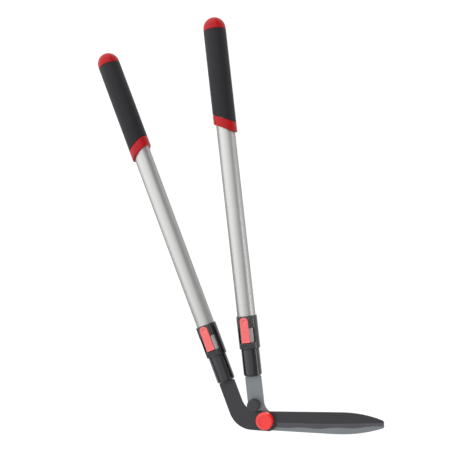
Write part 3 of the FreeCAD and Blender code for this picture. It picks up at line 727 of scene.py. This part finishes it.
@dataclass
class GripSleeve:
    """The soft sleeve: a tube that is cut square at the cap and on a slant at the ferrule."""

    finishes: Finishes
    slant: float = math.radians(26.0)
    wall: float = 3.4 * MM
    rim: float = 0.8 * MM
    around: int = 128
    rim_steps: int = 5

    def tree(self, material: bpy.types.Material) -> GeometryTree:
        """The sleeve's rule: a rounded wall section carried round a circle, then sheared.

        Args:
            material: the finish that the tree sets.

        Returns:
            The tree; its own Z is the handle's axis.
        """
        made = GeometryTree(
            "slanted_sleeve",
            {"Radius": 0.0175, "Wall": self.wall, "Length": 0.14, "Slant": 0.5, "Rim": self.rim},
        )
        middle = made.maths(
            "SUBTRACT", made.size("Radius"), made.maths("MULTIPLY", made.size("Wall"), 0.5)
        )
        path = made.node(
            "GeometryNodeCurvePrimitiveCircle", {}, {"Resolution": self.around, "Radius": middle}
        )
        section = made.node(
            "GeometryNodeCurvePrimitiveQuadrilateral",
            {},
            {"Width": made.size("Wall"), "Height": made.size("Length")},
        )
        rounded = made.node(
            "GeometryNodeFilletCurve",
            {"mode": "POLY"},
            {"Curve": section.outputs[0], "Radius": made.size("Rim"), "Count": self.rim_steps},
        )
        ring = made.node(
            "GeometryNodeCurveToMesh",
            {},
            {"Curve": path.outputs[0], "Profile Curve": rounded.outputs[0]},
        )
        where = made.node("GeometryNodeInputPosition", {}, {}).outputs[0]
        parts = made.node("ShaderNodeSeparateXYZ", {}, {0: where})
        height = made.maths("DIVIDE", parts.outputs[2], made.size("Length"))
        share = made.maths("SUBTRACT", 0.5, height)
        drop = made.maths("MULTIPLY", parts.outputs[0], made.size("Slant"))
        offset = made.node(
            "ShaderNodeCombineXYZ", {}, {2: made.maths("MULTIPLY", drop, share)}
        )
        sheared = made.node(
            "GeometryNodeSetPosition",
            {},
            {"Geometry": ring.outputs[0], "Offset": offset.outputs[0]},
        )
        made.finish(sheared.outputs[0], material)
        return made

    def build(self, side: Side, mount: dict, axis: Vector, outer: int) -> None:
        """Makes one sleeve.

        Args:
            side: which handle.
            mount: the record's mount on that grip.
            axis: the handle's direction.
            outer: +1 where the slant is lower across to the right, and -1 to the left.
        """
        material = self.finishes.of(Slot.GRIP_RUBBER)
        node = f"{side.value}_grip"
        origin = Vector(mount["pos_m"])
        radius = mount["dims"]["r_mm"] * MM
        low, high = node_span(node, origin, axis)
        start = low + radius * math.tan(self.slant)
        sizes = {
            "Radius": radius,
            "Length": high - start,
            "Slant": -outer * math.tan(self.slant),
        }
        shape = self.tree(material).mesh_object(f"{side.value}_grip_sleeve", sizes, material)
        across = Vector((axis.y, -axis.x, 0.0))
        centre = origin + axis * (start + high) / 2
        columns = Matrix((across, -Vector((0, 0, 1)), axis)).transposed()
        put(shape, Matrix.Translation(centre) @ columns.to_4x4())
        point_outwards(shape)
        settle(shape, f"{side.value}_handle", node)


@dataclass
class LeverSpring:
    """The small coil that lifts the lever's thumb end."""

    finishes: Finishes
    turns: float = 3.0
    wire: float = 0.5 * MM
    per_turn: int = 24
    wire_sides: int = 10
    kept: float = 0.60

    def build(self, side: Side) -> None:
        """Makes one coil from the box of its CAD node."""
        material = self.finishes.of(Slot.SPRING_STEEL)
        node = f"{side.value}_lever_spring"
        low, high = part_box(node)
        made = GeometryTree(
            "lever_coil",
            {"Turns": self.turns, "Radius": 0.002, "Height": 0.002, "Wire": self.wire},
        )
        spiral = made.node(
            "GeometryNodeCurveSpiral",
            {},
            {
                "Resolution": self.per_turn,
                "Rotations": made.size("Turns"),
                "Start Radius": made.size("Radius"),
                "End Radius": made.size("Radius"),
                "Height": made.size("Height"),
            },
        )
        section = made.node(
            "GeometryNodeCurvePrimitiveCircle",
            {},
            {
                "Resolution": self.wire_sides,
                "Radius": made.maths("MULTIPLY", made.size("Wire"), 0.5),
            },
        )
        coil = made.node(
            "GeometryNodeCurveToMesh",
            {},
            {"Curve": spiral.outputs[0], "Profile Curve": section.outputs[0], "Fill Caps": True},
        )
        made.finish(coil.outputs[0], material)
        sizes = {"Radius": (high.x - low.x - self.wire) / 2, "Height": high.z - low.z - self.wire}
        shape = made.mesh_object(f"{side.value}_lever_coil", sizes, material)
        foot = Vector(((low.x + high.x) / 2, (low.y + high.y) / 2, low.z + self.wire / 2))
        put(shape, Matrix.Translation(foot))
        point_outwards(shape)
        settle(shape, f"{side.value}_handle", node)
        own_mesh(shape)


@dataclass
class TelescopicHandle:
    """One handle: socket and inner tube on the blade, and the sliding tube, lock and grip."""

    side: Side
    finishes: Finishes
    lever_voxel: float = 0.28 * MM
    lever_passes: int = 4
    plain_pieces: dict[str, Slot] = field(
        default_factory=lambda: {
            "socket": Slot.BLACK_PLASTIC,
            "tang_insert": Slot.NYLON,
            "tang_pins": Slot.ZINC_STEEL,
            "inner_tube_bush": Slot.NYLON,
            "collar": Slot.BLACK_PLASTIC,
            "collar_screw": Slot.ZINC_STEEL,
            "lever_axle": Slot.SPRING_STEEL,
            "lock_pin": Slot.ZINC_STEEL,
            "grip_ferrule": Slot.RED_PLASTIC,
            "grip_end_cap": Slot.RED_PLASTIC,
        }
    )

    @property
    def axis(self) -> Vector:
        """The handle's direction, from its sliding joint."""
        name = f"{self.side.value}_telescope"
        joint = next(row for row in frame["joints"] if row["name"] == name)
        return Vector(joint["axis"]).normalized()

    @property
    def mount(self) -> dict:
        """The record's mount on this handle's grip."""
        name = f"{self.side.value}_grip"
        return next(row for row in frame["record"]["mounts"] if row["name"] == name)

    def build(self) -> None:
        """Dresses the CAD pieces and makes the soft and softened ones."""
        name = self.side.value
        for piece, slot in self.plain_pieces.items():
            dress(f"{name}_{piece}", self.finishes.of(slot))
        lean = math.atan2(-self.axis.x, self.axis.y)
        dress(f"{name}_outer_tube", DrawnAluminium(f"{name}_satin_tube").make(-lean))
        inner = DrawnAluminium(
            f"{name}_drawn_inner_tube", colour=(0.30, 0.30, 0.31), roughness=0.42, lines=0.10
        )
        dress(f"{name}_inner_tube", inner.make(-lean))
        self.build_lever()
        outer = 1 if self.side is Side.RIGHT else -1
        GripSleeve(self.finishes).build(self.side, self.mount, self.axis, outer)
        LeverSpring(self.finishes).build(self.side)

    def build_lever(self) -> None:
        """Makes the softened lock lever."""
        node = f"{self.side.value}_lock_lever"
        material = self.finishes.of(Slot.LEVER_PLASTIC)
        shape = softened(
            node, f"{self.side.value}_rounded_lever", self.lever_voxel, self.lever_passes, material
        )
        settle(shape, f"{self.side.value}_lever", node)


# ------------------------------------------------------------------------------ studio

@dataclass
class SoftBox:
    """A rectangular studio light."""

    name: str
    bearing: float
    tilt: float
    distance: float
    width: float
    length: float
    radiance: float

    def build(self) -> None:
        """Hangs the light at a bearing from +X and a tilt from overhead, turned to the middle."""
        lamp = bpy.data.lights.new(self.name, "AREA")
        lamp.shape = "RECTANGLE"
        lamp.size = self.width
        lamp.size_y = self.length
        lamp.energy = self.radiance * math.pi * self.width * self.length
        holder = bpy.data.objects.new(self.name, lamp)
        bpy.context.scene.collection.objects.link(holder)
        holder.visible_camera = False
        bearing = math.radians(self.bearing)
        tilt = math.radians(self.tilt)
        out = Vector((math.cos(bearing), math.sin(bearing), 0.0)) * math.sin(tilt)
        out.z = math.cos(tilt)
        along = Vector((-math.sin(bearing), math.cos(bearing), 0.0))
        holder.matrix_world = Matrix.Translation(out * self.distance) @ facing(-out, along)


def facing(towards: Vector, along: Vector) -> Matrix:
    """A turn that looks along a direction, with its own up kept towards another."""
    back = -towards
    right = along.cross(back).normalized()
    up = back.cross(right)
    return Matrix((right, up, back)).transposed().to_4x4()


@dataclass
class Studio:
    """The pale floor, the soft lights and the camera."""

    camera_place: Triple = (0.2645, 0.2795, 1.0933)
    camera_aim: Triple = (-0.0490, 0.2795, 0.0)
    lens: float = 56.83
    sensor: float = 36.0
    floor_half: float = 9.0
    sky: float = 0.52
    # Each box: bearing, tilt, distance, width, length, radiance.
    boxes: tuple[SoftBox, ...] = (
        SoftBox("left_wall", -40.0, -58.0, 1.5, 1.95, 4.6, 1.65),
        SoftBox("left_top", -40.0, -12.0, 1.5, 0.70, 3.6, 1.30),
        SoftBox("right_top", -40.0, 16.0, 1.5, 0.75, 3.0, 0.80),
        SoftBox("right_strip", -11.0, 86.6, 1.12, 0.12, 0.96, 6.5),
        SoftBox("front_strip", -95.0, 78.0, 1.30, 0.40, 1.6, 1.10),
    )

    @property
    def pivot(self) -> Vector:
        """The blades' pivot, which the camera's place is measured from."""
        joint = next(row for row in frame["joints"] if row["name"] == "blade_pivot")
        return Vector(joint["pos_m"])

    def build(self) -> None:
        """Makes everything that isn't the object."""
        self.build_floor()
        self.build_sky()
        for box in self.boxes:
            box.build()
        self.build_camera()
        bpy.context.scene.view_settings.view_transform = "Standard"

    def build_floor(self) -> None:
        """Lays the floor just under the object."""
        half = self.floor_half
        mesh = bpy.data.meshes.new("studio_floor")
        corners = [(-half, -half, 0), (half, -half, 0), (half, half, 0), (-half, half, 0)]
        mesh.from_pydata(corners, [], [(0, 1, 2, 3)])
        floor = new_object("studio_floor", mesh)
        mesh.materials.append(StudioFloor().make())

    def build_sky(self) -> None:
        """Fills the room with an even light."""
        world = bpy.data.worlds.new("studio_room")
        world.use_nodes = True
        background = world.node_tree.nodes["Background"]
        background.inputs["Color"].default_value = (1.0, 1.0, 1.0, 1.0)
        background.inputs["Strength"].default_value = self.sky
        bpy.context.scene.world = world

    def build_camera(self) -> None:
        """Sets up the camera."""
        lens = bpy.data.cameras.new("camera")
        lens.lens = self.lens
        lens.sensor_width = self.sensor
        lens.clip_start = 0.05
        lens.clip_end = 50.0
        holder = bpy.data.objects.new("camera", lens)
        bpy.context.scene.collection.objects.link(holder)
        place = self.pivot + Vector(self.camera_place)
        towards = (self.pivot + Vector(self.camera_aim) - place).normalized()
        holder.matrix_world = Matrix.Translation(place) @ facing(towards, Vector((0, 1, 0)))
        bpy.context.scene.camera = holder


def main() -> None:
    """Builds each sub-assembly in turn."""
    logging.basicConfig(level=logging.INFO)
    finishes = Finishes()
    Studio().build()
    BladePair(finishes).build()
    PivotStack(finishes).build()
    BumperStop(finishes).build()
    for side in Side:
        TelescopicHandle(side, finishes).build()
    bpy.context.view_layer.update()


if __name__ == "__main__":
    main()
